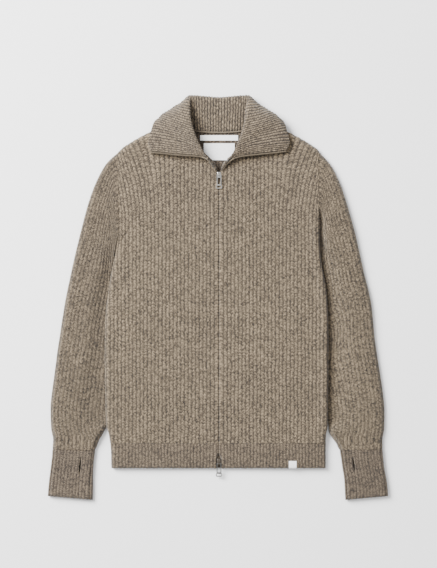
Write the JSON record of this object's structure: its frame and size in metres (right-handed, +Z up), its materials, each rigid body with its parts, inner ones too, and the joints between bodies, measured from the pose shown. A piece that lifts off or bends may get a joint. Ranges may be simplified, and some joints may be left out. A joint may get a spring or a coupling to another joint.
{
  "type": "zip-through fisherman cardigan laid flat",
  "caption": "Heavy ribbed wool cardigan laid flat, with a two-way front zip, open fold-down collar, set-in sleeves and long cuffs with thumb slits.",
  "frame": {"origin": "centre of the laid-out garment in plan, on the surface that it lies on", "axes": "+Z up out of the cloth; +Y towards the collar; +X towards the sleeve on the right of the picture"},
  "size_m": [0.6804, 0.8094, 0.0379],
  "materials": {
    "marled_wool": "heavy fisherman's rib in marled beige and brown wool",
    "rib_wool": "fine rib in the same wool",
    "zip_tape": "dark brown woven tape with a nylon coil",
    "zip_metal": "silver plated zinc",
    "label_cloth": "bare white woven label"
  },
  "bodies": {
    "garment": {"front_left": "marled_wool", "front_right": "marled_wool", "back": "marled_wool", "sleeve_left": "marled_wool", "sleeve_right": "marled_wool", "hem_front_left": "rib_wool", "hem_front_right": "rib_wool", "hem_back": "rib_wool", "cuff_left_front": "rib_wool", "cuff_left_back": "rib_wool", "cuff_right_front": "rib_wool", "cuff_right_back": "rib_wool", "collar": "rib_wool", "zip_tape_left": "zip_tape", "zip_tape_right": "zip_tape", "zip_chain": "zip_tape", "zip_row_left": "zip_tape", "zip_row_right": "zip_tape", "slider_top": "zip_metal", "slider_bottom": "zip_metal", "neck_label": "label_cloth", "strip_label": "label_cloth", "hem_flag": "label_cloth"},
    "pull_top": {"pull_top": "zip_metal"},
    "pull_bottom": {"pull_bottom": "zip_metal"}
  },
  "joints": [
    {"name": "top_pull_hinge", "type": "hinge", "parent": "garment", "child": "pull_top", "pos_m": [0.0022, 0.2455, 0.0129], "axis": [-1, 0, 0], "range_deg": [0, 150]},
    {"name": "bottom_pull_hinge", "type": "hinge", "parent": "garment", "child": "pull_bottom", "pos_m": [0.0022, -0.3315, 0.0129], "axis": [-1, 0, 0], "range_deg": [0, 150]}
  ]
}
